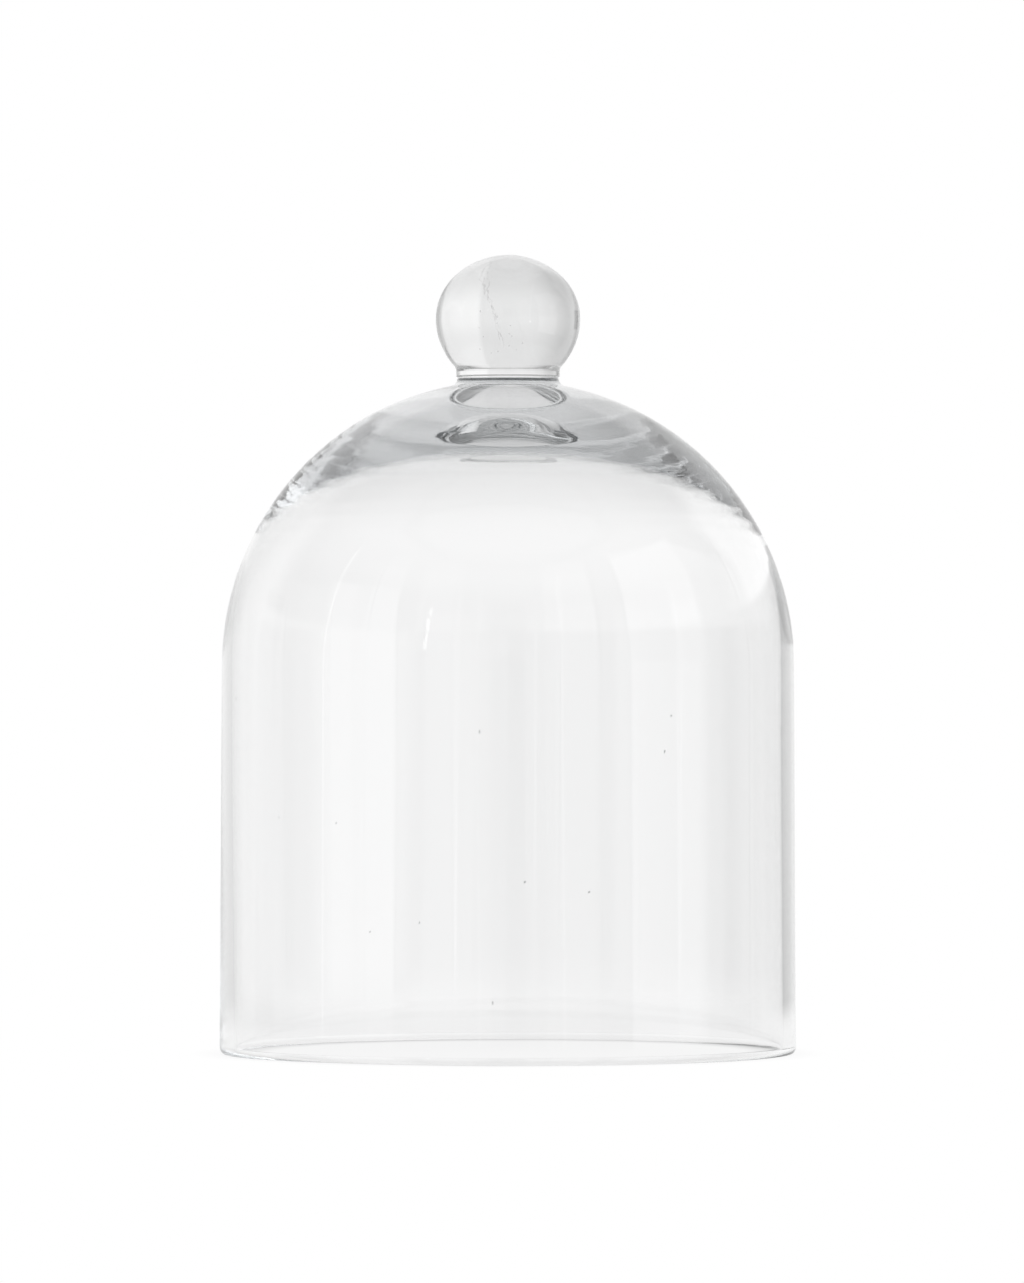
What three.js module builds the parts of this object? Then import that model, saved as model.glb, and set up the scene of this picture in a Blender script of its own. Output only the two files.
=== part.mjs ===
// Glass bell jar dome: a blown shell, open at the bottom, and a solid ball knob fused to its crown.
// Millimetres, +Z up. The origin is the centre of the ring on which the dome stands.
import * as THREE from "three";

// Driving dimensions of the shell
const MOUTH_RADIUS = 100;
const SHOULDER_RADIUS = 99.2; // also the radius of the hemispherical crown
const SHOULDER_HEIGHT = 134.3; // where the straight wall meets the crown
const MOUTH_WALL = 5;
const SHOULDER_WALL = 4;
const CROWN_THICKNESS = 15; // on the axis, if the inner crown had no dimple
const CROWN_FULLNESS = 2.4; // exponent of the inner crown: 2 is an ellipse, more is squarer
const DIMPLE_DEPTH = 2.2; // the shallow hollow in the middle of the inner crown
const DIMPLE_REACH = 14; // radius at which the hollow has faded to about a third of its depth
const LIP_HEIGHT = 2.6; // height of the fire-polished rounding of the lip
const LIP_LAND = 1.6; // width of the flat ring that touches the table

// Driving dimensions of the joint between shell and knob
const JOINT_RADIUS = 17.5;
const JOINT_FILLET = 3; // the shell's flare up to the joint

// Driving dimensions of the knob
const COLLAR_RADIUS = 18;
const COLLAR_HEIGHT = 2.6; // straight part above the joint
const COLLAR_ROUND = 0.5; // rounding that leaves a groove at the joint
const BALL_RADIUS = 25;
const BALL_CENTRE_HEIGHT = 255;
const BALL_TOP = 22; // from the centre to the top
const BALL_BOTTOM = 25; // from the centre to where the ball would end below

// Facets
const AROUND = 60;
const CROWN_STEPS = 16;
const LIP_STEPS = 3;
const BALL_STEPS = 8;

const QUARTER = Math.PI / 2;

// Points of an ellipse with the given centre and half-axes, between two angles, ends included.
function ellipsePoints(centreR, centreZ, halfR, halfZ, from, to, steps) {
  return Array.from({ length: steps + 1 }, (_, i) => {
    const angle = from + ((to - from) * i) / steps;
    return new THREE.Vector2(centreR + halfR * Math.cos(angle), centreZ + halfZ * Math.sin(angle));
  });
}

// The centre of the fillet that touches the crown from outside and turns vertical at the joint.
function filletCentre() {
  const radius = JOINT_RADIUS + JOINT_FILLET;
  const rise = Math.sqrt((SHOULDER_RADIUS + JOINT_FILLET) ** 2 - radius ** 2);
  return new THREE.Vector2(radius, SHOULDER_HEIGHT + rise);
}

const JOINT_HEIGHT = filletCentre().y;

// The inner crown, from the axis down to the shoulder: a superellipse with a dimple, thick at the top.
function innerCrown() {
  const reach = SHOULDER_RADIUS - SHOULDER_WALL;
  const rise = SHOULDER_RADIUS - CROWN_THICKNESS;
  const power = 2 / CROWN_FULLNESS;
  return Array.from({ length: CROWN_STEPS + 1 }, (_, i) => {
    const angle = QUARTER * (1 - i / CROWN_STEPS);
    const across = i === 0 ? 0 : reach * Math.cos(angle) ** power;
    const dimple = DIMPLE_DEPTH * Math.exp(-((across / DIMPLE_REACH) ** 2));
    return new THREE.Vector2(across, SHOULDER_HEIGHT + rise * Math.sin(angle) ** power + dimple);
  });
}

// The lip, from the inner wall over the flat land to the outer wall.
function lip() {
  const innerRadius = MOUTH_RADIUS - MOUTH_WALL;
  const round = (MOUTH_WALL - LIP_LAND) / 2;
  const inner = ellipsePoints(
    innerRadius + round, LIP_HEIGHT, round, LIP_HEIGHT, 2 * QUARTER, 3 * QUARTER, LIP_STEPS,
  );
  const outer = ellipsePoints(
    MOUTH_RADIUS - round, LIP_HEIGHT, round, LIP_HEIGHT, -QUARTER, 0, LIP_STEPS,
  );
  return [...inner, ...outer];
}

// The outer crown, from the shoulder up to where the fillet touches it, and the fillet up to the joint.
function outerCrown() {
  const centre = filletCentre();
  const touch = Math.atan2(centre.y - SHOULDER_HEIGHT, centre.x);
  const crown = ellipsePoints(0, SHOULDER_HEIGHT, SHOULDER_RADIUS, SHOULDER_RADIUS, 0, touch, CROWN_STEPS);
  const fillet = ellipsePoints(
    centre.x, centre.y, JOINT_FILLET, JOINT_FILLET, touch - 2 * QUARTER, -2 * QUARTER, LIP_STEPS,
  );
  return [...crown, ...fillet.slice(1)];
}

// The knob's outline from the joint up to where the collar enters the ball.
function collar() {
  const corner = ellipsePoints(
    COLLAR_RADIUS - COLLAR_ROUND, JOINT_HEIGHT + COLLAR_ROUND,
    COLLAR_ROUND, COLLAR_ROUND, -QUARTER, 0, LIP_STEPS,
  );
  return [...corner, new THREE.Vector2(COLLAR_RADIUS, JOINT_HEIGHT + COLLAR_HEIGHT)];
}

// The ball: the lower half starts just outside the collar, and the upper half ends on the axis.
function ball() {
  const start = -Math.acos((COLLAR_RADIUS + COLLAR_ROUND) / BALL_RADIUS);
  const lower = ellipsePoints(0, BALL_CENTRE_HEIGHT, BALL_RADIUS, BALL_BOTTOM, start, 0, BALL_STEPS / 2);
  const upper = ellipsePoints(0, BALL_CENTRE_HEIGHT, BALL_RADIUS, BALL_TOP, 0, QUARTER, BALL_STEPS);
  upper[BALL_STEPS].x = 0;
  return [...lower, ...upper.slice(1)];
}

// A named mesh of clear glass, turned from an outline that starts and ends on the axis.
function glassPiece(name, outline) {
  const geometry = new THREE.LatheGeometry(outline, AROUND).rotateX(QUARTER);
  const material = new THREE.MeshStandardMaterial({
    color: 0xe9f0f0, roughness: 0.03, metalness: 0, transparent: true, opacity: 0.35,
  });
  const mesh = new THREE.Mesh(geometry, material);
  mesh.name = name;
  return mesh;
}

const bellJar = new THREE.Group();
bellJar.add(
  glassPiece("glass_dome", [
    ...innerCrown(), ...lip(), ...outerCrown(), new THREE.Vector2(0, JOINT_HEIGHT),
  ]),
);
bellJar.add(glassPiece("ball_knob", [new THREE.Vector2(0, JOINT_HEIGHT), ...collar(), ...ball()]));

export default bellJar;
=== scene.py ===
"""The looks of a clear glass bell jar: a hand-blown dome and the solid ball knob fused to its crown.

Lengths are metres in the part's own frame: +Z is up and the lip stands on z = 0. Outlines are turned
about the Z axis. Each glass piece is closed, bubbles included, with normals that point out of the glass.
"""
import math

import bpy
import numpy as np
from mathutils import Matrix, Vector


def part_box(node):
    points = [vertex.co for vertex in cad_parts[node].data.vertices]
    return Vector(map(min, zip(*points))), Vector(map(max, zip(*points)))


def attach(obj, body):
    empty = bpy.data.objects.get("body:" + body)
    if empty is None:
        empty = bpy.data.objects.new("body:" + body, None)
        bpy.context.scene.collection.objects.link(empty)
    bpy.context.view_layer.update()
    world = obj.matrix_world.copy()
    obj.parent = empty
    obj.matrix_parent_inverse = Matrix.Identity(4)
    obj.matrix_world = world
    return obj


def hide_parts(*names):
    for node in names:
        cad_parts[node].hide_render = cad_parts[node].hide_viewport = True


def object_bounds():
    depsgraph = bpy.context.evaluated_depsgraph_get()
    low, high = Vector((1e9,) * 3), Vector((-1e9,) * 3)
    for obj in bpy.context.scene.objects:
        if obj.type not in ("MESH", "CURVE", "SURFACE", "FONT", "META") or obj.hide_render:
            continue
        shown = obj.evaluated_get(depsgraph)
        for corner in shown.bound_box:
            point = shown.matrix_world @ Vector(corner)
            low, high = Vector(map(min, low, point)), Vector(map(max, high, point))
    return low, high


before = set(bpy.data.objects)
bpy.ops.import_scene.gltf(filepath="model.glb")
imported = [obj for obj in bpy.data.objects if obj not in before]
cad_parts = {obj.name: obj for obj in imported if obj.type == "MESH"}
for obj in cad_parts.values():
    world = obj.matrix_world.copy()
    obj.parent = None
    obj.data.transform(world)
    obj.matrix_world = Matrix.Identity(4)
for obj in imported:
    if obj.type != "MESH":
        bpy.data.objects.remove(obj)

CAD_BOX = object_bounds()
SHELL_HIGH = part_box("glass_dome")[1]
KNOB_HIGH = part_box("ball_knob")[1]

MM = 0.001
QUARTER = math.pi / 2
FULL_TURN = 2 * math.pi
HALF_TURN_DEGREES = 180.0
TINY = 1e-9
SAME_COUNT = 0.5  # two whole numbers closer than this are the same
RANDOM_START = 7

# Shell
SHOULDER_TO_MOUTH = 0.992
SHOULDER_TO_SHELL_HEIGHT = 0.573
MOUTH_RADIUS = SHELL_HIGH.x
SHOULDER_RADIUS = MOUTH_RADIUS * SHOULDER_TO_MOUTH
SHOULDER_HEIGHT = SHELL_HIGH.z * SHOULDER_TO_SHELL_HEIGHT
MOUTH_WALL = 5 * MM
SHOULDER_WALL = 4 * MM
CROWN_THICKNESS = 15 * MM
CROWN_FULLNESS = 2.4
DIMPLE_DEPTH = 2.2 * MM
DIMPLE_REACH = 14 * MM
LIP_HEIGHT = 2.6 * MM
LIP_LAND = 1.6 * MM

# Joint between shell and knob: a flat disc, fused except for a ring at its edge
JOINT_HEIGHT = SHELL_HIGH.z
JOINT_RADIUS = 17.5 * MM
JOINT_FILLET = 3 * MM
JOINT_GAP = 0.02 * MM
JOINT_HALO = 0.7 * MM

# Knob
BALL_RADIUS = KNOB_HIGH.x
BALL_TOP = 22 * MM
BALL_CENTRE_HEIGHT = KNOB_HIGH.z - BALL_TOP
BALL_BOTTOM = 25 * MM
COLLAR_RADIUS = 18 * MM
COLLAR_HEIGHT = 2.6 * MM
COLLAR_ROUND = 0.5 * MM

# Facets
SHELL_AROUND = 192
KNOB_AROUND = 192
CROWN_STEPS = 190
WALL_STEPS = 40
LIP_STEPS = 12
FILLET_STEPS = 14
COLLAR_STEPS = 6
NECK_STEPS = 4
BALL_LOWER_STEPS = 40
BALL_UPPER_STEPS = 50

# Waves in the blown skin: how many round the piece, how many along it, height
SHELL_WAVES = [
    (2, 1, 0.15 * MM),
    (3, 2, 0.08 * MM),
    (5, 1, 0.03 * MM),
    (23, 1, 0.006 * MM),
    (41, 2, 0.004 * MM),
]
KNOB_WAVES = [
    (2, 1, 0.10 * MM),
    (3, 1, 0.05 * MM),
]
SHELL_WAVES_FADE = 30 * MM
KNOB_WAVES_FADE = 10 * MM

# Rings left by the shaping tool: angles above the horizon, in degrees
RING_SPACING = 5.5 * MM
RING_DEPTH = 0.02 * MM
RING_START = 20
RING_END = 68
RING_FADE = 12
RING_SKIN = 1 * MM
RING_DRIFT = [(0.6, 2, 0.7), (0.35, 5, 2.1)]  # height, count round the dome, phase
RING_FAINTEST = 0.12

# Seeds: small bubbles
SEED_ROWS = 8
SEED_COLUMNS = 12
SEED_SIDE = (0.3, 0.9, 0.2)  # any direction that no seed is drawn out along
WALL_SEEDS = 14
WALL_SEED_HEIGHTS = (0.08, 0.92)
WALL_SEED_INSET = 0.5 * MM
WALL_SEED_LEAN = 0.6
WALL_SEED_SIZES = (0.14, 0.30)
WALL_SEED_STRETCH = (1.3, 3.0)
BALL_SEEDS = 16
BALL_SEED_CENTRE = (-2.5, -9, -5)
BALL_SEED_SPREAD = (3.0, 3.0, 4.5)
BALL_SEED_SIZES = (0.10, 0.26)
BALL_SEED_STRETCH = (1.0, 1.6)

# Cord: the four control points of its curve, in mm from the centre of the ball
CORD_CURVE = [(-1.5, -11, -9), (-4, -14, 4), (-11, -11, 13), (-4.5, -6.5, 18)]
CORD_STEPS = 90
CORD_AROUND = 10
CORD_STRANDS = [  # lean in mm, phase, thickness
    (0.0, 0.0, 0.30 * MM),
    (1.1, 1.9, 0.16 * MM),
    (-0.8, 4.1, 0.12 * MM),
]
CORD_LEAN = (1, 0.5, 0)
CORD_SWAYS = [(1.3, 0.5), (3.7, 0.3), (8.3, 0.22), (17.0, 0.12)]  # turns, width in mm
CORD_SWELL = 0.4
CORD_SWELL_RATES = (37, 83)

# Glass
GLASS_IOR = 1.51
SHELL_TINT = (0.905, 0.908, 0.91)
SHELL_DENSITY = 44.0
KNOB_TINT = (0.905, 0.907, 0.907)
KNOB_DENSITY = 36.0
RIPPLE_SCALE = 60.0
RIPPLE_STRENGTH = 0.02
RIPPLE_DISTANCE = 0.5 * MM
SMUDGE_SCALE = 22.0
SMUDGE_DETAIL = 5.0
SMUDGE_EDGE = (0.55, 0.72)
SMUDGE_ROUGHNESS = 0.02
CORD_IOR = 1.012
CORD_TINTS = (0.97, 0.86)
CORD_TINT_SCALE = 260.0
CORD_TINT_DETAIL = 4.0
CORD_TINT_EDGE = (0.40, 0.62)
CORD_BUMP_SCALE = 900.0
CORD_BUMP_STRENGTH = 0.3
CORD_BUMP_DISTANCE = 0.4 * MM

# Studio. A bearing is in degrees to the right of straight ahead; up is the sine of the height above the
# horizon. An edge is the pair of values between which one level fades into the next.
ROOM = 0.28
ROOM_EDGE = (58, 72)
LEFT_SHADE = 0.70
LEFT_SHADE_EDGE = (-50, -9)
RIGHT_GAIN = 0.13
RIGHT_GAIN_EDGE = (14, 18)
HIGH_SHADE = 0.92
HIGH_SHADE_EDGE = (0.03, 0.30)
LOW_SHADE = 0.85
LOW_SHADE_EDGE = (-0.45, -0.08)
OVERHEAD = [  # edge in up, level for light bent a few times, level for light bent more often
    ((0.58, 0.70), 0.42, 0.92),
    ((0.80, 0.92), 0.50, 0.80),
]

# Bearing of the middle, half width, lowest up, highest up at the middle, rise of the top edge per
# degree, light added or taken away
PANELS = [
    (111, 19, -0.35, 0.635, 0, 0.50),
    (113, 16, -0.35, 0.03, 0, 0.30),
    (78, 14, -0.30, 0.49, 0.009, 0.28),
    (154, 11, -0.20, 0.59, 0, 0.22),
    (-151, 9, -0.25, 0.59, 0, 0.16),
    (-126, 7, -0.25, 0.59, 0, 0.20),
    (-110, 24, -0.20, 0.205, 0, 0.12),
    (180, 7, -0.03, 0.28, 0, -0.27),
    (-66, 7, -0.10, 0.16, 0, -0.25),
    (62, 4, -0.30, 0.40, 0, -0.12),
    (101, 7, -0.35, 0.34, 0, 0.30),
    (-147.6, 0.5, 0.17, 0.215, 0, 3.0),
    (144, 0.8, -0.16, -0.10, 0, 3.0),
    (-101, 0.4, -0.30, 0.60, 0, 0.9),
    (-121, 0.5, -0.30, 0.60, 0, -0.35),
    (-158, 0.4, -0.30, 0.54, 0, -0.25),
    (-168.5, 0.4, -0.30, 0.40, 0, 0.5),
    (158, 0.4, -0.30, 0.54, 0, 0.6),
    (142.5, 0.5, -0.30, 0.60, 0, -0.25),
    (130, 0.4, -0.30, 0.60, 0, -0.45),
    (67, 0.5, -0.30, 0.55, 0, -0.45),
]
PANEL_SIDE_SOFT = 0.25
PANEL_END_SOFT = 0.01

# Levels for light by its ray depth, the count of surfaces it has met: a liberty no real lamp has
OFTEN_BENT = 4.5
WALL_EDGE_DEPTH = 4.0
WALL_EDGE_UP = 0.08
WALL_EDGE_SOFT = 0.02
WALL_EDGE_LEVELS = (0.74, 0.30)  # left, right
MIDDLE_EDGE = (-2, 2)
DEEP = 6.5
SIDE_GLINT = 1.3
SIDE_GLINT_BEARINGS = (88, 138)
SIDE_GLINT_SOFT = 4
LOW_GLINT = 1.1
LOW_GLINT_EDGE = (-0.20, -0.23)
TRAPPED = 20.5
TRAPPED_GLINT = 2.4

# Floor
FLOOR_RADIUS = 0.45
FLOOR_FADE_START = 0.4
FLOOR_DROP = 0.05 * MM
FLOOR_THROUGH_GLASS = 0.94
SHADOW_REACH = 0.012
SHADOW_SAMPLES = 16
OPEN_SHADOW = 0.08
GLASS_SHADOW = 0.45

# Camera, placed from the middle of the part's height
LENS = 238.4
SENSOR_WIDTH = 36
CAMERA_DISTANCE = 2.948
CAMERA_ASIDE = 1.4 * MM
CAMERA_BELOW = 9.1 * MM
AIM_ABOVE = 4.3 * MM

BOUNCES = 96
TRANSPARENT_BOUNCES = 32

rng = np.random.default_rng(RANDOM_START)


# ---------------------------------------------------------------- outlines

def ellipse_points(centre_r, centre_z, half_r, half_z, start, end, steps):
    """Points (r, z) on an ellipse between two angles, ends included."""
    angle = np.linspace(start, end, steps + 1)
    return np.column_stack([centre_r + half_r * np.cos(angle), centre_z + half_z * np.sin(angle)])


def line_points(start, end, steps):
    """Points (r, z) on a straight line, ends included, closer together near both ends."""
    share = (1 - np.cos(np.linspace(0, math.pi, steps + 1)[:, None])) / 2
    return np.array(start) * (1 - share) + np.array(end) * share


def joined(*stretches):
    """One outline from stretches that start where the one before ends."""
    return np.vstack([stretches[0]] + [stretch[1:] for stretch in stretches[1:]])


def fillet_centre():
    """Centre of the fillet that touches the crown from outside and turns vertical at the joint."""
    radius = JOINT_RADIUS + JOINT_FILLET
    rise = math.sqrt((SHOULDER_RADIUS + JOINT_FILLET) ** 2 - radius ** 2)
    return radius, SHOULDER_HEIGHT + rise


def inner_crown():
    """From the axis down to the shoulder: a superellipse with a shallow hollow in its middle."""
    reach = SHOULDER_RADIUS - SHOULDER_WALL
    rise = SHOULDER_RADIUS - CROWN_THICKNESS
    power = 2 / CROWN_FULLNESS
    angle = np.linspace(QUARTER, 0, CROWN_STEPS + 1)
    across = reach * np.abs(np.cos(angle)) ** power
    across[0] = 0
    dimple = DIMPLE_DEPTH * np.exp(-(across / DIMPLE_REACH) ** 2)
    return np.column_stack([across, SHOULDER_HEIGHT + rise * np.sin(angle) ** power + dimple])


def lip():
    """From the inner wall over the flat land to the outer wall."""
    width = (MOUTH_WALL - LIP_LAND) / 2
    inner = ellipse_points(
        MOUTH_RADIUS - MOUTH_WALL + width, LIP_HEIGHT, width, LIP_HEIGHT,
        2 * QUARTER, 3 * QUARTER, LIP_STEPS)
    outer = ellipse_points(
        MOUTH_RADIUS - width, LIP_HEIGHT, width, LIP_HEIGHT, -QUARTER, 0, LIP_STEPS)
    return np.vstack([inner, outer])


def outer_crown():
    """From the shoulder up to where the fillet touches, and the fillet up to the joint."""
    centre_r, centre_z = fillet_centre()
    touch = math.atan2(centre_z - SHOULDER_HEIGHT, centre_r)
    crown = ellipse_points(
        0, SHOULDER_HEIGHT, SHOULDER_RADIUS, SHOULDER_RADIUS, 0, touch, CROWN_STEPS)
    fillet = ellipse_points(
        centre_r, centre_z, JOINT_FILLET, JOINT_FILLET,
        touch - 2 * QUARTER, -2 * QUARTER, FILLET_STEPS)
    return joined(crown, fillet)


def shell_outline():
    """The whole dome from the inner apex, round the lip, to the edge of the fused disc."""
    inside = inner_crown()
    rim = lip()
    outside = outer_crown()
    return joined(
        inside,
        line_points(inside[-1], rim[0], WALL_STEPS),
        rim,
        line_points(rim[-1], outside[0], WALL_STEPS),
        outside,
        [outside[-1], (JOINT_RADIUS - JOINT_HALO, JOINT_HEIGHT)],
    )


def knob_outline():
    """The knob from the edge of the fused disc, over its collar, to the top of the ball."""
    corner = ellipse_points(
        COLLAR_RADIUS - COLLAR_ROUND, JOINT_HEIGHT + JOINT_GAP + COLLAR_ROUND,
        COLLAR_ROUND, COLLAR_ROUND, -QUARTER, 0, COLLAR_STEPS)
    collar_top = (COLLAR_RADIUS, JOINT_HEIGHT + COLLAR_HEIGHT)
    start = -math.acos((COLLAR_RADIUS + COLLAR_ROUND) / BALL_RADIUS)
    lower = ellipse_points(
        0, BALL_CENTRE_HEIGHT, BALL_RADIUS, BALL_BOTTOM, start, 0, BALL_LOWER_STEPS)
    upper = ellipse_points(
        0, BALL_CENTRE_HEIGHT, BALL_RADIUS, BALL_TOP, 0, QUARTER, BALL_UPPER_STEPS)
    upper[-1, 0] = 0
    return joined(
        [(JOINT_RADIUS - JOINT_HALO, JOINT_HEIGHT + JOINT_GAP), corner[0]],
        corner,
        line_points(corner[-1], collar_top, COLLAR_STEPS),
        line_points(collar_top, lower[0], NECK_STEPS),
        lower,
        upper,
    )


# ---------------------------------------------------------------- skin of the blown glass

def blown_waves(outline, angles, heights, waves):
    """How far the skin stands proud at each point: sums of waves round and along the piece."""
    length = np.concatenate([[0], np.cumsum(np.linalg.norm(np.diff(outline, axis=0), axis=1))])
    total = np.zeros((len(outline), len(angles)))
    for round_count, along_count, amplitude in waves:
        phase_round, phase_along = rng.uniform(0, FULL_TURN, 2)
        drift = np.sin(FULL_TURN * along_count * length / length[-1] + phase_along)
        total += amplitude * np.outer(drift, np.sin(round_count * angles + phase_round))
    return total * heights[:, None]


def tool_rings(outline, angles):
    """Rings left on the outside of the shoulder by the shaping tool, deeper on two sides."""
    height = outline[:, 1] - SHOULDER_HEIGHT
    slope = np.degrees(np.arctan2(height, outline[:, 0]))
    outside = np.hypot(outline[:, 0], height) > SHOULDER_RADIUS - RING_SKIN
    rise = np.clip((slope - RING_START) / RING_FADE, 0, 1)
    fall = np.clip((RING_END - slope) / RING_FADE, 0, 1)
    along = np.radians(slope) * SHOULDER_RADIUS
    drift = sum(size * np.sin(count * angles + phase) for size, count, phase in RING_DRIFT)
    wave = np.sin(FULL_TURN * along[:, None] / RING_SPACING + drift[None, :])
    sides = RING_FAINTEST + (1 - RING_FAINTEST) * np.cos(angles) ** 2
    return RING_DEPTH * (rise * fall * outside)[:, None] * wave * sides[None, :]


def shell_skin(outline, angles):
    """The shell's waves, which fade out towards the axis, and its tool rings."""
    fade = np.clip((outline[:, 0] - JOINT_RADIUS) / SHELL_WAVES_FADE, 0, 1)
    return blown_waves(outline, angles, fade, SHELL_WAVES) + tool_rings(outline, angles)


def knob_skin(outline, angles):
    """The knob's waves, which fade out towards the collar."""
    fade = np.clip((outline[:, 1] - JOINT_HEIGHT - COLLAR_HEIGHT) / KNOB_WAVES_FADE, 0, 1)
    return blown_waves(outline, angles, fade, KNOB_WAVES)


# ---------------------------------------------------------------- meshes

def outline_normals(outline):
    """Unit normals of an outline, pointing to the right of its direction of travel."""
    along = np.gradient(outline, axis=0)
    normal = np.column_stack([along[:, 1], -along[:, 0]])
    return normal / np.maximum(np.linalg.norm(normal, axis=1), TINY)[:, None]


def turned_piece(outline, around, skin):
    """Vertices, rings and faces of a turned outline; a ring is a single point where r is zero."""
    angles = np.linspace(0, FULL_TURN, around, endpoint=False)
    proud = skin(outline, angles)
    normals = outline_normals(outline)
    vertices, rings = [], []
    for (r, z), (nr, nz), offset in zip(outline, normals, proud):
        if r < TINY:
            rings.append([len(vertices)])
            vertices.append((0, 0, z))
            continue
        rings.append(list(range(len(vertices), len(vertices) + around)))
        radii = r + nr * offset
        vertices.extend(zip(radii * np.cos(angles), radii * np.sin(angles), z + nz * offset))
    faces = []
    for low, high in zip(rings, rings[1:]):
        for k in range(around):
            after = (k + 1) % around
            if len(low) == 1:
                faces.append((low[0], high[after], high[k]))
            elif len(high) == 1:
                faces.append((low[k], low[after], high[0]))
            else:
                faces.append((low[k], low[after], high[after], high[k]))
    return vertices, rings, faces


def seed_bubble(centre, across, along, upright):
    """A tiny closed cavity in the glass; its normals point into the cavity, out of the glass."""
    vertices = [centre - upright * along]
    side = np.cross(upright, SEED_SIDE)
    side /= np.linalg.norm(side)
    third = np.cross(upright, side)
    for row in range(1, SEED_ROWS):
        polar = math.pi * row / SEED_ROWS
        for column in range(SEED_COLUMNS):
            turn = FULL_TURN * column / SEED_COLUMNS
            around = side * math.cos(turn) + third * math.sin(turn)
            vertices.append(centre - upright * along * math.cos(polar)
                            + around * across * math.sin(polar))
    vertices.append(centre + upright * along)
    last = len(vertices) - 1
    faces = []
    for k in range(SEED_COLUMNS):
        after = (k + 1) % SEED_COLUMNS
        faces.append((0, 1 + k, 1 + after))
        faces.append((last, last - SEED_COLUMNS + after, last - SEED_COLUMNS + k))
        for row in range(SEED_ROWS - 2):
            low = 1 + row * SEED_COLUMNS
            high = low + SEED_COLUMNS
            faces.append((low + k, high + k, high + after, low + after))
    return vertices, faces


def add_seeds(vertices, faces, seeds):
    """Adds bubbles to a piece; each seed is its centre, half-axes across and along, and direction."""
    for seed in seeds:
        more, more_faces = seed_bubble(*seed)
        faces.extend(tuple(corner + len(vertices) for corner in face) for face in more_faces)
        vertices.extend(tuple(point) for point in more)


def wall_seeds():
    """Seeds drawn out along the wall, near the middle of its thickness."""
    seeds = []
    middle = MOUTH_RADIUS - MOUTH_WALL / 2
    taper = MOUTH_RADIUS - SHOULDER_RADIUS - WALL_SEED_INSET
    for _ in range(WALL_SEEDS):
        turn = rng.uniform(0, FULL_TURN)
        height = rng.uniform(*WALL_SEED_HEIGHTS) * SHOULDER_HEIGHT
        radius = middle - taper * height / SHOULDER_HEIGHT
        centre = np.array([radius * math.cos(turn), radius * math.sin(turn), height])
        lean = rng.uniform(-WALL_SEED_LEAN, WALL_SEED_LEAN)
        upright = np.array([
            -math.sin(turn) * math.sin(lean), math.cos(turn) * math.sin(lean), math.cos(lean)])
        across = rng.uniform(*WALL_SEED_SIZES) * MM
        seeds.append((centre, across, across * rng.uniform(*WALL_SEED_STRETCH), upright))
    return seeds


def ball_seeds():
    """A loose cluster of nearly round seeds at the lower end of the cord."""
    seeds = []
    upright = np.array([0.0, 0.0, 1.0])
    for _ in range(BALL_SEEDS):
        offset = rng.normal(0, 1, 3) * np.array(BALL_SEED_SPREAD) * MM
        centre = np.array(BALL_SEED_CENTRE) * MM + offset + upright * BALL_CENTRE_HEIGHT
        across = rng.uniform(*BALL_SEED_SIZES) * MM
        seeds.append((centre, across, across * rng.uniform(*BALL_SEED_STRETCH), upright))
    return seeds


def cord_strand(lean, phase, thickness):
    """Centre line and radius of one strand of the cord, which thins to nothing at both ends."""
    share = np.linspace(0, 1, CORD_STEPS + 1)
    left = 1 - share
    shares = np.column_stack([left ** 3, 3 * left ** 2 * share, 3 * left * share ** 2, share ** 3])
    line = shares @ np.array(CORD_CURVE) * MM
    line += lean * MM * np.array(CORD_LEAN) * share[:, None]
    for turns, sway in CORD_SWAYS:
        line[:, 0] += sway * MM * np.sin(FULL_TURN * turns * share + phase * turns)
        line[:, 1] += sway * MM * np.cos(FULL_TURN * turns * share + phase)
    line[:, 2] += BALL_CENTRE_HEIGHT
    slow, quick = CORD_SWELL_RATES
    swell = 1 + CORD_SWELL * (np.sin(slow * share + phase) + np.sin(quick * share + 3 * phase))
    radius = thickness * np.sqrt(np.sin(math.pi * share)) * swell
    return line, radius


def add_strand(vertices, faces, line, radius):
    """Adds one closed strand, with level rings of points along its centre line."""
    base = len(vertices)
    vertices.append(tuple(line[0]))
    for (x, y, z), r in zip(line[1:-1], radius[1:-1]):
        for k in range(CORD_AROUND):
            turn = FULL_TURN * k / CORD_AROUND
            vertices.append((x + r * math.cos(turn), y + r * math.sin(turn), z))
    vertices.append(tuple(line[-1]))
    last = len(vertices) - 1
    for k in range(CORD_AROUND):
        after = (k + 1) % CORD_AROUND
        faces.append((base, base + 1 + after, base + 1 + k))
        faces.append((last, last - CORD_AROUND + k, last - CORD_AROUND + after))
        for row in range(CORD_STEPS - 2):
            low = base + 1 + row * CORD_AROUND
            high = low + CORD_AROUND
            faces.append((low + k, low + after, high + after, high + k))


# ---------------------------------------------------------------- objects

def smooth_object(name, vertices, faces, glass):
    """A smooth mesh object in a material slot, riding on the part's one body."""
    mesh = bpy.data.meshes.new(name)
    mesh.from_pydata(vertices, [], faces)
    mesh.materials.append(glass)
    mesh.polygons.foreach_set("use_smooth", [True] * len(mesh.polygons))
    mesh.update()
    piece = bpy.data.objects.new(name, mesh)
    bpy.context.scene.collection.objects.link(piece)
    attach(piece, "root")
    return piece


def close_at_joint(faces, joint_ring, facing_up):
    """Adds the flat disc of the joint; returns the corners of the flat faces round it."""
    rim = set(joint_ring)
    flat = {corner for face in faces if not rim.isdisjoint(face) for corner in face}
    faces.append(list(joint_ring) if facing_up else list(reversed(joint_ring)))
    return flat


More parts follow.
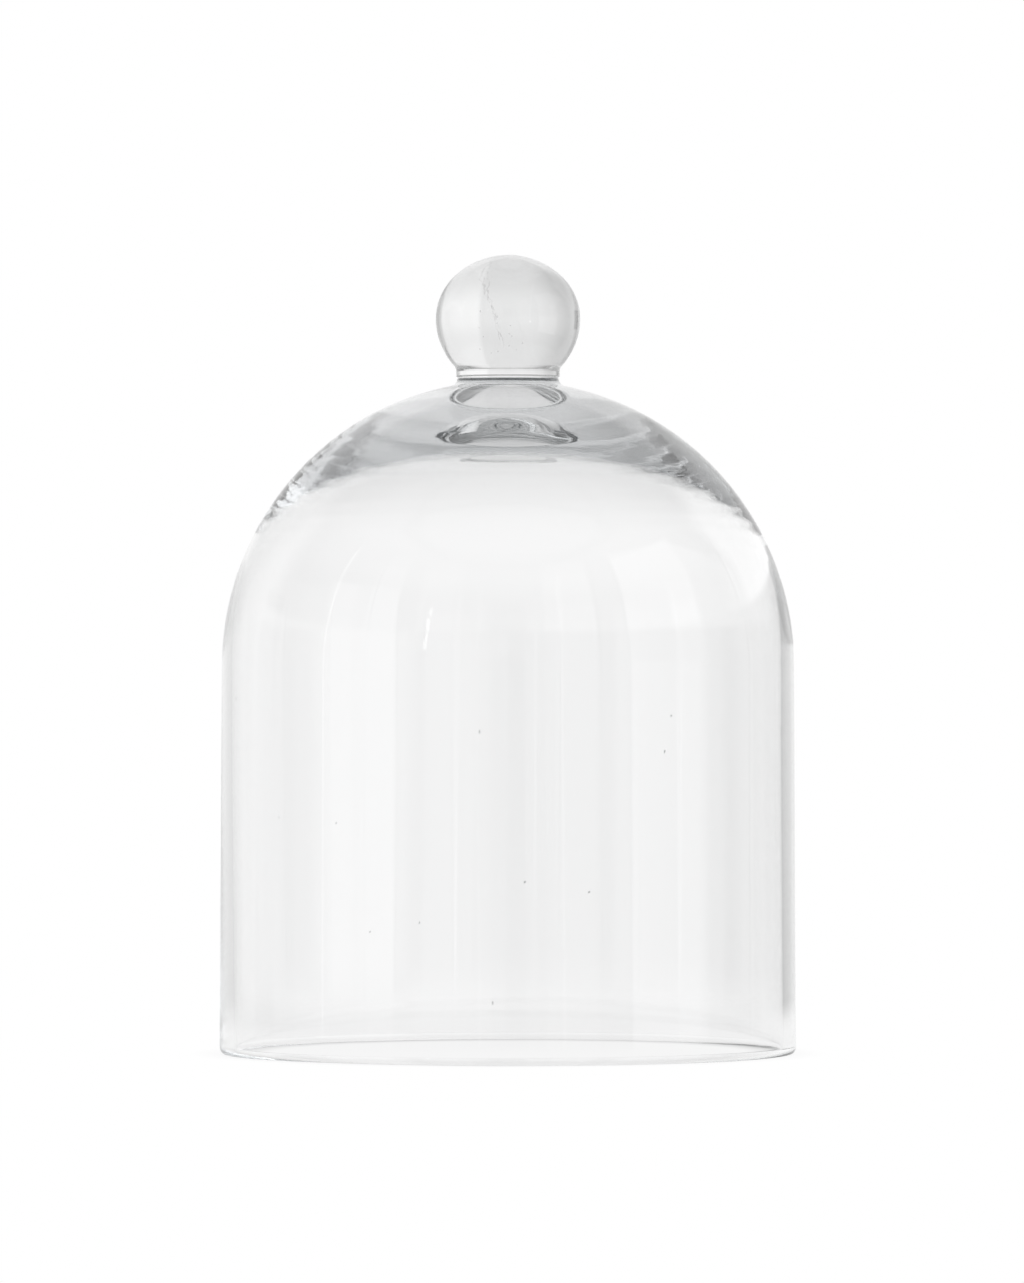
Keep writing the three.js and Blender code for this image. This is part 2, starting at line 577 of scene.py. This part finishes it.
def sharpen(piece, corners):
    """Keeps the edges between these corners crisp.

    Every face stays smooth, because a renderer may take smooth and flat faces for different media.
    """
    for edge in piece.data.edges:
        edge.use_edge_sharp = corners.issuperset(edge.vertices)
    piece.data.update()


def build_shell():
    """The dome, with its waves, tool rings and seeds."""
    glass = glass_material("shell_glass", SHELL_TINT, SHELL_DENSITY)
    vertices, rings, faces = turned_piece(shell_outline(), SHELL_AROUND, shell_skin)
    add_seeds(vertices, faces, wall_seeds())
    flat = close_at_joint(faces, rings[-1], True)
    piece = smooth_object("glass_shell", vertices, faces, glass)
    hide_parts("glass_dome")
    sharpen(piece, flat)


def build_knob():
    """The ball and its collar, with waves and seeds."""
    glass = glass_material("knob_glass", KNOB_TINT, KNOB_DENSITY)
    vertices, rings, faces = turned_piece(knob_outline(), KNOB_AROUND, knob_skin)
    add_seeds(vertices, faces, ball_seeds())
    flat = close_at_joint(faces, rings[0], False)
    piece = smooth_object("glass_ball", vertices, faces, glass)
    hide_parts("ball_knob")
    sharpen(piece, flat)


def build_cord():
    """A cord: strands of slightly different glass drawn into the ball when it was gathered."""
    vertices, faces = [], []
    for strand in CORD_STRANDS:
        add_strand(vertices, faces, *cord_strand(*strand))
    smooth_object("knob_cord", vertices, faces, cord_material())


# ---------------------------------------------------------------- nodes

class Nodes:
    """Short calls for building a node tree."""

    def __init__(self, tree):
        self.tree = tree
        tree.nodes.clear()

    def link(self, value, socket):
        if isinstance(value, bpy.types.NodeSocket):
            self.tree.links.new(value, socket)
        else:
            socket.default_value = value

    def add(self, kind, inputs=None, **settings):
        node = self.tree.nodes.new(kind)
        for key, value in settings.items():
            setattr(node, key, value)
        for key, value in (inputs or {}).items():
            self.link(value, node.inputs[key])
        return node

    def math(self, operation, *values):
        node = self.add("ShaderNodeMath", operation=operation)
        for value, socket in zip(values, node.inputs):
            self.link(value, socket)
        return node.outputs[0]

    def times(self, first, second):
        return self.math("MULTIPLY", first, second)

    def vector(self, operation, *values):
        node = self.add("ShaderNodeVectorMath", operation=operation)
        for value, socket in zip(values, node.inputs):
            self.link(value, socket)
        scalar = operation in ("DOT_PRODUCT", "LENGTH")
        return node.outputs["Value" if scalar else "Vector"]

    def step(self, value, low, high):
        """0 at low, 1 at high, smooth between; it falls instead of rising where high is below low."""
        return self.add("ShaderNodeMapRange", {
            "Value": value, "From Min": low, "From Max": high},
            interpolation_type="SMOOTHSTEP").outputs[0]

    def band(self, value, low, high, soft):
        """1 between low and high with soft edges, 0 outside."""
        rise = self.step(value, low - soft, low + soft)
        fall = self.step(value, high - soft, high + soft)
        return self.math("SUBTRACT", rise, fall)

    def mix(self, share, first, second):
        return self.add("ShaderNodeMix", {0: share, 2: first, 3: second}, data_type="FLOAT").outputs[0]

    def noise(self, vector, scale, detail=2.0):
        return self.add("ShaderNodeTexNoise", {
            "Vector": vector, "Scale": scale, "Detail": detail}).outputs[0]

    def bump(self, height, strength, distance):
        return self.add("ShaderNodeBump", {
            "Height": height, "Strength": strength, "Distance": distance}).outputs[0]


def new_material(name):
    material = bpy.data.materials.new(name)
    material.use_nodes = True
    return material, Nodes(material.node_tree)


# ---------------------------------------------------------------- glass

def fused_area(n):
    """1 on the flat disc where shell and knob are fused, 0 elsewhere."""
    place = n.add("ShaderNodeNewGeometry").outputs["Position"]
    x, y, z = n.add("ShaderNodeSeparateXYZ", {0: place}).outputs
    above = n.math("ABSOLUTE", n.math("SUBTRACT", z, JOINT_HEIGHT + JOINT_GAP / 2))
    across = n.math("SQRT", n.math("MULTIPLY_ADD", x, x, n.times(y, y)))
    near = n.math("LESS_THAN", above, JOINT_GAP)
    return n.times(near, n.math("LESS_THAN", across, JOINT_RADIUS - JOINT_HALO))


def glass_material(name, tint, density):
    """Clear glass with a slight ripple, faint smudges and a little colour in its depth.

    On the fused disc its index is 1, so that light goes straight on from one piece to the other.
    """
    material, n = new_material(name)
    place = n.add("ShaderNodeTexCoord").outputs["Object"]
    smudge = n.step(n.noise(place, SMUDGE_SCALE, SMUDGE_DETAIL), *SMUDGE_EDGE)
    skin = n.add("ShaderNodeBsdfPrincipled", {
        "Base Color": (1, 1, 1, 1),
        "Roughness": n.times(smudge, SMUDGE_ROUGHNESS),
        "IOR": n.mix(fused_area(n), GLASS_IOR, 1.0),
        "Transmission Weight": 1.0,
        "Normal": n.bump(n.noise(place, RIPPLE_SCALE), RIPPLE_STRENGTH, RIPPLE_DISTANCE)})
    body = n.add("ShaderNodeVolumeAbsorption", {"Color": (*tint, 1), "Density": density})
    n.add("ShaderNodeOutputMaterial", {"Surface": skin.outputs[0], "Volume": body.outputs[0]})
    return material


def cord_material():
    """Glass of a slightly different make: its index is relative to the glass around it."""
    material, n = new_material("cord_glass")
    place = n.add("ShaderNodeTexCoord").outputs["Object"]
    stain = n.step(n.noise(place, CORD_TINT_SCALE, CORD_TINT_DETAIL), *CORD_TINT_EDGE)
    skin = n.add("ShaderNodeBsdfPrincipled", {
        "Base Color": n.mix(stain, *CORD_TINTS),
        "Roughness": 0.0,
        "IOR": CORD_IOR,
        "Transmission Weight": 1.0,
        "Normal": n.bump(n.noise(place, CORD_BUMP_SCALE), CORD_BUMP_STRENGTH, CORD_BUMP_DISTANCE)})
    n.add("ShaderNodeOutputMaterial", {"Surface": skin.outputs[0]})
    return material


# ---------------------------------------------------------------- studio

def view_of_direction(n):
    """Bearing from the camera's heading and up, for the direction a ray leaves in."""
    direction = n.add("ShaderNodeTexCoord").outputs["Generated"]
    forward = n.add("ShaderNodeVectorTransform", {0: (0, 0, 1)}, vector_type="VECTOR",
                    convert_from="CAMERA", convert_to="WORLD").outputs[0]
    away = n.vector("NORMALIZE", n.vector("MULTIPLY", forward, (1, 1, 0)))
    right = n.vector("CROSS_PRODUCT", away, (0, 0, 1))
    ahead = n.vector("DOT_PRODUCT", direction, away)
    side = n.vector("DOT_PRODUCT", direction, right)
    up = n.add("ShaderNodeSeparateXYZ", {0: direction}).outputs[2]
    return n.math("DEGREES", n.math("ARCTAN2", side, ahead)), up


def deeper(n, depth, limit):
    """1 for rays that have met more surfaces than the limit, 0 for the others."""
    return n.math("GREATER_THAN", depth, limit)


def backdrop_and_room(n, bearing, up):
    """A white backdrop ahead, dimmer to the left, above and below, and a dim room elsewhere."""
    backdrop = n.mix(n.step(bearing, *LEFT_SHADE_EDGE), LEFT_SHADE, 1.0)
    backdrop = n.math("ADD", backdrop, n.times(n.step(bearing, *RIGHT_GAIN_EDGE), RIGHT_GAIN))
    backdrop = n.times(backdrop, n.mix(n.step(up, *HIGH_SHADE_EDGE), 1.0, HIGH_SHADE))
    backdrop = n.times(backdrop, n.mix(n.step(up, *LOW_SHADE_EDGE), LOW_SHADE, 1.0))
    return n.mix(n.step(n.math("ABSOLUTE", bearing), *ROOM_EDGE), backdrop, ROOM)


def with_overhead(n, light, up, depth):
    """Soft light from above, brighter for light that has been bent often."""
    often = deeper(n, depth, OFTEN_BENT)
    for edge, seldom_level, often_level in OVERHEAD:
        light = n.mix(n.step(up, *edge), light, n.mix(often, seldom_level, often_level))
    return light


def with_panel(n, light, bearing, up, panel):
    """One upright panel of the room: a window, a streak of light or a dark strip."""
    centre, half_width, low, high, slope, extra = panel
    turn = n.math("WRAP", n.math("SUBTRACT", bearing, centre),
                  HALF_TURN_DEGREES, -HALF_TURN_DEGREES)
    over = n.math("SUBTRACT", up, n.math("MULTIPLY_ADD", turn, slope, high))
    pane = n.times(n.band(turn, -half_width, half_width, PANEL_SIDE_SOFT),
                   n.step(over, PANEL_END_SOFT, -PANEL_END_SOFT))
    pane = n.times(pane, n.step(up, low - PANEL_END_SOFT, low + PANEL_END_SOFT))
    return n.math("MULTIPLY_ADD", pane, extra, light)


def with_glints(n, light, bearing, up, depth):
    """Levels for light that comes out of the wall's edge and out of the thick shoulder."""
    wall_edge = n.times(n.math("COMPARE", depth, WALL_EDGE_DEPTH, SAME_COUNT),
                        n.band(up, -WALL_EDGE_UP, WALL_EDGE_UP, WALL_EDGE_SOFT))
    to_the_right = n.step(bearing, *MIDDLE_EDGE)
    light = n.mix(wall_edge, light, n.mix(to_the_right, *WALL_EDGE_LEVELS))
    deep = deeper(n, depth, DEEP)
    side = n.times(deep, n.band(bearing, *SIDE_GLINT_BEARINGS, SIDE_GLINT_SOFT))
    light = n.mix(side, light, SIDE_GLINT)
    light = n.mix(n.times(deep, n.step(up, *LOW_GLINT_EDGE)), light, LOW_GLINT)
    trapped = n.times(deeper(n, depth, TRAPPED), to_the_right)
    return n.mix(trapped, light, TRAPPED_GLINT)


def studio_world():
    """A white backdrop and a dim room with tall windows, which turn with the camera.

    The camera itself sees plain white. What the glass shows also depends on how many surfaces a ray
    has met, so this light is set for looks and is not a model of real lamps.
    """
    world = bpy.data.worlds.new("studio")
    bpy.context.scene.world = world
    world.use_nodes = True
    n = Nodes(world.node_tree)
    bearing, up = view_of_direction(n)
    path = n.add("ShaderNodeLightPath")
    depth = path.outputs["Ray Depth"]
    light = backdrop_and_room(n, bearing, up)
    light = with_overhead(n, light, up, depth)
    for panel in PANELS:
        light = with_panel(n, light, bearing, up, panel)
    light = with_glints(n, light, bearing, up, depth)
    light = n.mix(path.outputs["Is Camera Ray"], light, 1.0)
    background = n.add("ShaderNodeBackground", {"Color": light})
    n.add("ShaderNodeOutputWorld", {"Surface": background.outputs[0]})


def floor_material():
    """Pale floor lit evenly, with a faint contact shadow; its rim fades into the backdrop."""
    material, n = new_material("pale_floor")
    covered = n.add("ShaderNodeAmbientOcclusion", {"Distance": SHADOW_REACH},
                    samples=SHADOW_SAMPLES).outputs["AO"]
    distance = n.vector("LENGTH", n.add("ShaderNodeTexCoord").outputs["Object"])
    seen = n.add("ShaderNodeLightPath").outputs["Is Camera Ray"]
    shade = n.mix(covered, n.mix(seen, 1 - GLASS_SHADOW, 1 - OPEN_SHADOW), 1.0)
    level = n.mix(seen, FLOOR_THROUGH_GLASS, 1.0)
    glow = n.add("ShaderNodeEmission", {"Strength": n.times(shade, level)})
    clear = n.add("ShaderNodeBsdfTransparent")
    fade = n.step(distance, FLOOR_RADIUS * FLOOR_FADE_START, FLOOR_RADIUS)
    surface = n.add("ShaderNodeMixShader", {0: fade, 1: glow.outputs[0], 2: clear.outputs[0]})
    n.add("ShaderNodeOutputMaterial", {"Surface": surface.outputs[0]})
    return material


def studio_floor():
    """A square just under the lip, staged so that it isn't part of the object."""
    corners = [(x * FLOOR_RADIUS, y * FLOOR_RADIUS, 0) for x, y in ((-1, -1), (1, -1), (1, 1), (-1, 1))]
    mesh = bpy.data.meshes.new("studio_floor")
    mesh.from_pydata(corners, [], [(0, 1, 2, 3)])
    mesh.materials.append(floor_material())
    floor = bpy.data.objects.new("studio_floor", mesh)
    floor.location.z = CAD_BOX[0][2] - FLOOR_DROP
    bpy.context.scene.collection.objects.link(floor)


def studio_camera():
    """A long lens a little below the middle of the part, nearly level."""
    data = bpy.data.cameras.new("camera")
    data.lens = LENS
    data.sensor_width = SENSOR_WIDTH
    camera = bpy.data.objects.new("camera", data)
    middle = (CAD_BOX[0][2] + CAD_BOX[1][2]) / 2
    camera.location = (CAMERA_ASIDE, -CAMERA_DISTANCE, middle - CAMERA_BELOW)
    tilt = math.atan2(AIM_ABOVE + CAMERA_BELOW, CAMERA_DISTANCE)
    camera.rotation_euler = (QUARTER + tilt, 0, 0)
    bpy.context.scene.collection.objects.link(camera)
    bpy.context.scene.camera = camera


def render_options():
    """Plain tones, and enough bounces for light that is caught in the thick crown."""
    scene = bpy.context.scene
    scene.view_settings.view_transform = "Standard"
    scene.cycles.max_bounces = BOUNCES
    scene.cycles.transmission_bounces = BOUNCES
    scene.cycles.glossy_bounces = BOUNCES
    scene.cycles.transparent_max_bounces = TRANSPARENT_BOUNCES
    scene.cycles.use_denoising = True


# ---------------------------------------------------------------- build

build_shell()
build_knob()
build_cord()
studio_world()
studio_floor()
studio_camera()
render_options()
